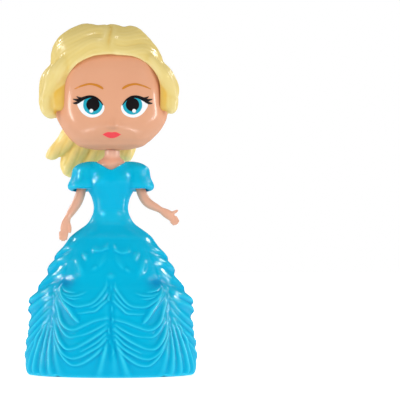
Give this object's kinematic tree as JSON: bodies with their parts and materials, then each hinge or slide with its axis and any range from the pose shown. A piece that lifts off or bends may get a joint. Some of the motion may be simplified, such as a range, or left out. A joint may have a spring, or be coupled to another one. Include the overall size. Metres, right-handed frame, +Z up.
{
  "type": "princess doll",
  "caption": "Moulded plastic princess doll in a draped ball gown that stands on its base, with swinging arms, a turning big head and swept-up moulded hair.",
  "frame": {"origin": "centre of the base plate's underside, on the surface that the doll stands on", "axes": "+Z up, the doll faces -Y, +X towards its left side"},
  "size_m": [0.0598, 0.0542, 0.1197],
  "materials": {
    "gown": "glossy, cyan blue",
    "skin": "satin, warm skin tone",
    "hair": "satin with a pearly sheen, pale yellow",
    "screw": "zinc plated"
  },
  "bodies": {
    "torso": {"gown_front": "gown", "gown_back": "gown", "base_plate": "gown", "base_screw_1": "screw", "base_screw_2": "screw", "base_screw_3": "screw", "bust": "skin", "neck_retainer": "skin"},
    "head": {"face_shell": "skin", "hair_front": "hair", "hair_back": "hair", "hair_tail": "hair"},
    "right_arm": {"right_arm": "skin"},
    "left_arm": {"left_arm": "skin"}
  },
  "joints": [
    {"name": "head_turn", "type": "hinge", "parent": "torso", "child": "head", "pos_m": [0, 0, 0.0767], "axis": [0, 0, 1], "range_deg": [-60, 25]},
    {"name": "right_arm_swing", "type": "hinge", "parent": "torso", "child": "right_arm", "pos_m": [-0.0096, 0, 0.0683], "axis": [1, 0, 0], "range_deg": [-20, 8]},
    {"name": "left_arm_swing", "type": "hinge", "parent": "torso", "child": "left_arm", "pos_m": [0.0096, 0, 0.0683], "axis": [1, 0, 0], "range_deg": [-20, 20]}
  ]
}
